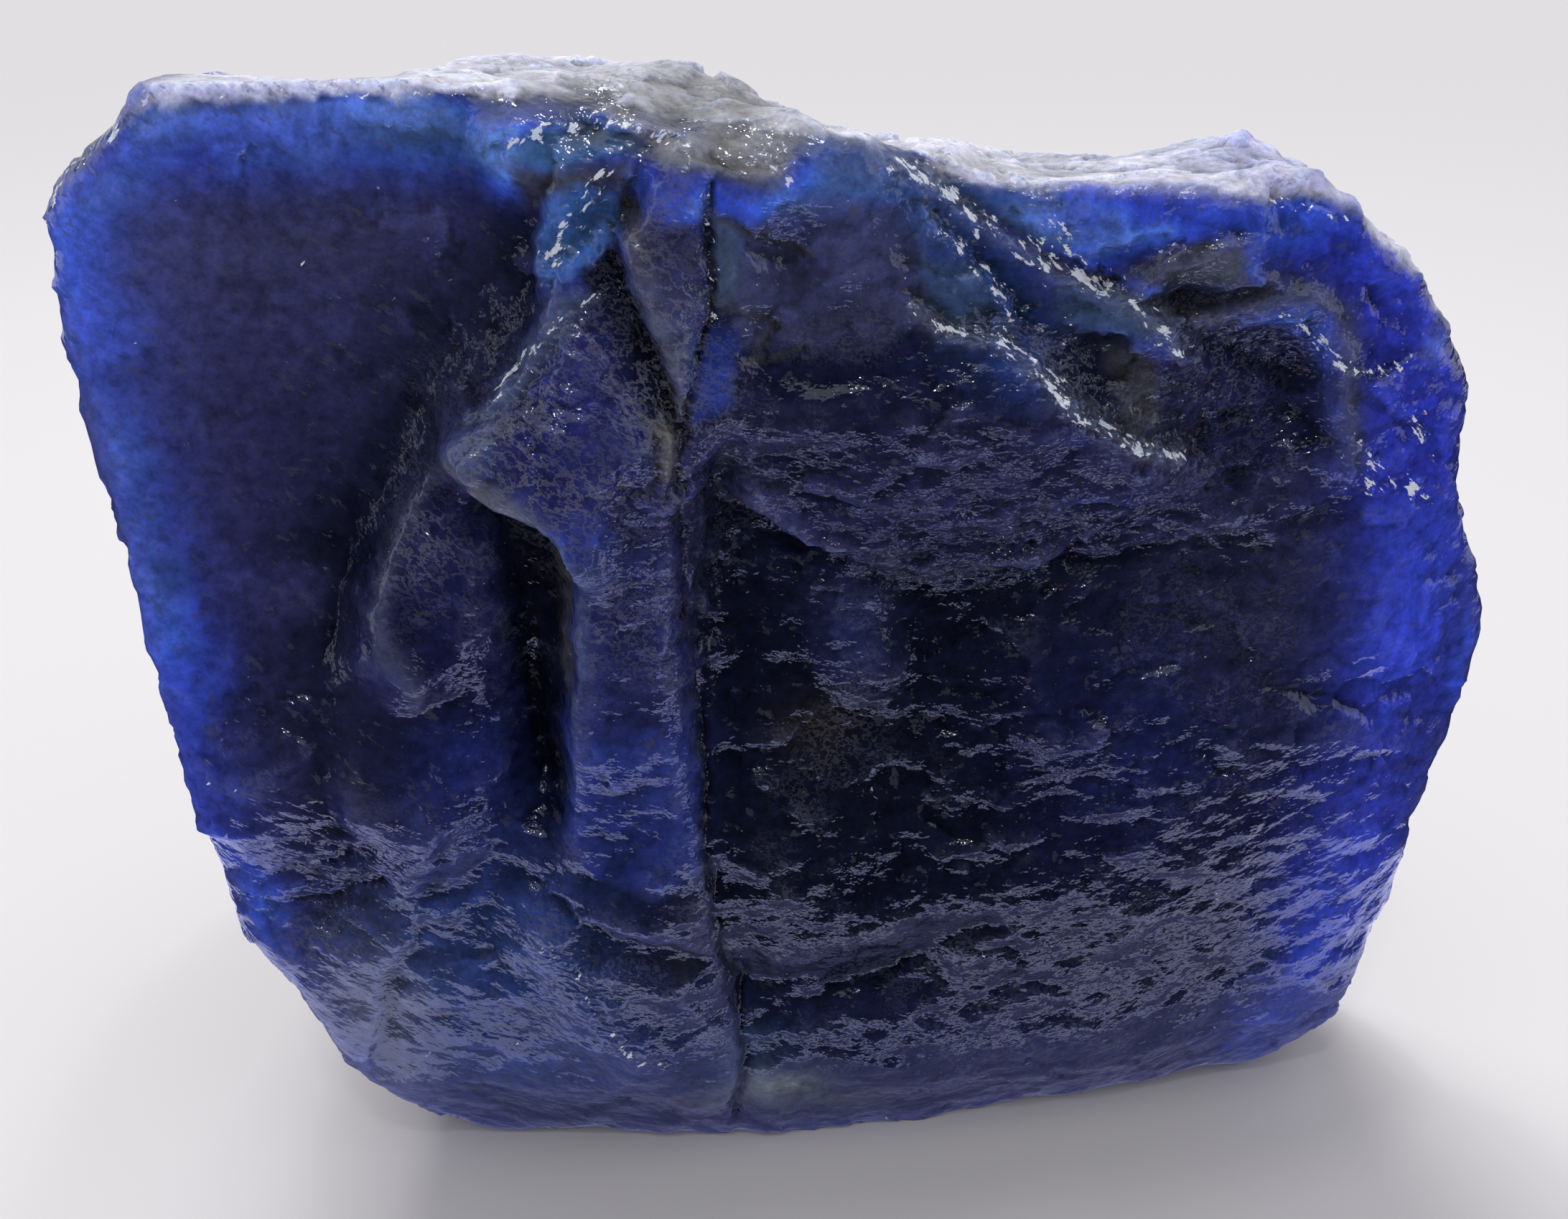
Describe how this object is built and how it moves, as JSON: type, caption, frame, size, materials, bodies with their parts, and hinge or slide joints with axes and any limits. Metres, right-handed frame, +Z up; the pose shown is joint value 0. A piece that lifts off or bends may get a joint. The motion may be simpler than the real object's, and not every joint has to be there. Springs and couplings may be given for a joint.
{
  "type": "rough sapphire",
  "caption": "Rough block of deep blue translucent stone, broken on every side, with ridges, ledges, a tall crack and a flat patch underneath that it rests on.",
  "frame": {"origin": "bottom centre of the stone's bounding box, on the surface it stands on", "axes": "+Z up; -Y is the side with the tall crack and the pillar beside it; +X to the right of someone who looks at that side"},
  "size_m": [0.172, 0.097, 0.146],
  "materials": {
    "sapphire": "wet-glossy, finely rippled fracture surface, translucent and glowing blue where it is thin"
  },
  "bodies": {
    "root": {"rough_sapphire": "sapphire"}
  },
  "joints": []
}
